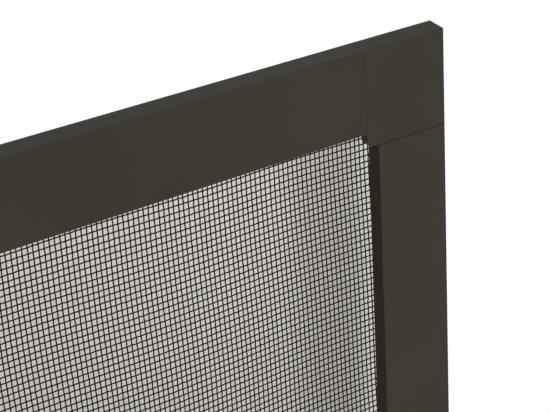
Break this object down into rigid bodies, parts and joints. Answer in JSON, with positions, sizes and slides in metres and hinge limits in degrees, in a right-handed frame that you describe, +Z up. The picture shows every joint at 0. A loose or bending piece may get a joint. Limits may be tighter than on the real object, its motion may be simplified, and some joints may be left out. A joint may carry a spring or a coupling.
{
  "type": "window insect screen",
  "caption": "Slim flat framed insect screen for a window: hollow square-cut rails on moulded corner pieces, with a woven mesh held by a round spline in a groove at the back.",
  "frame": {"origin": "middle of the frame's bounding box", "axes": "+X to the right seen from the flat front, +Z up, +Y out of the back, where the spline groove is"},
  "size_m": [0.6, 0.006, 0.8],
  "materials": {
    "frame_metal": "dark bronze coat, satin",
    "corner_plastic": "moulded, dark bronze, matt",
    "mesh_weave": "charcoal coated yarn",
    "spline_cord": "matt black"
  },
  "bodies": {
    "root": {"top_rail": "frame_metal", "bottom_rail": "frame_metal", "left_stile": "frame_metal", "right_stile": "frame_metal", "top_left_corner": "corner_plastic", "top_right_corner": "corner_plastic", "bottom_right_corner": "corner_plastic", "bottom_left_corner": "corner_plastic", "insect_mesh": "mesh_weave", "spline": "spline_cord"}
  },
  "joints": []
}
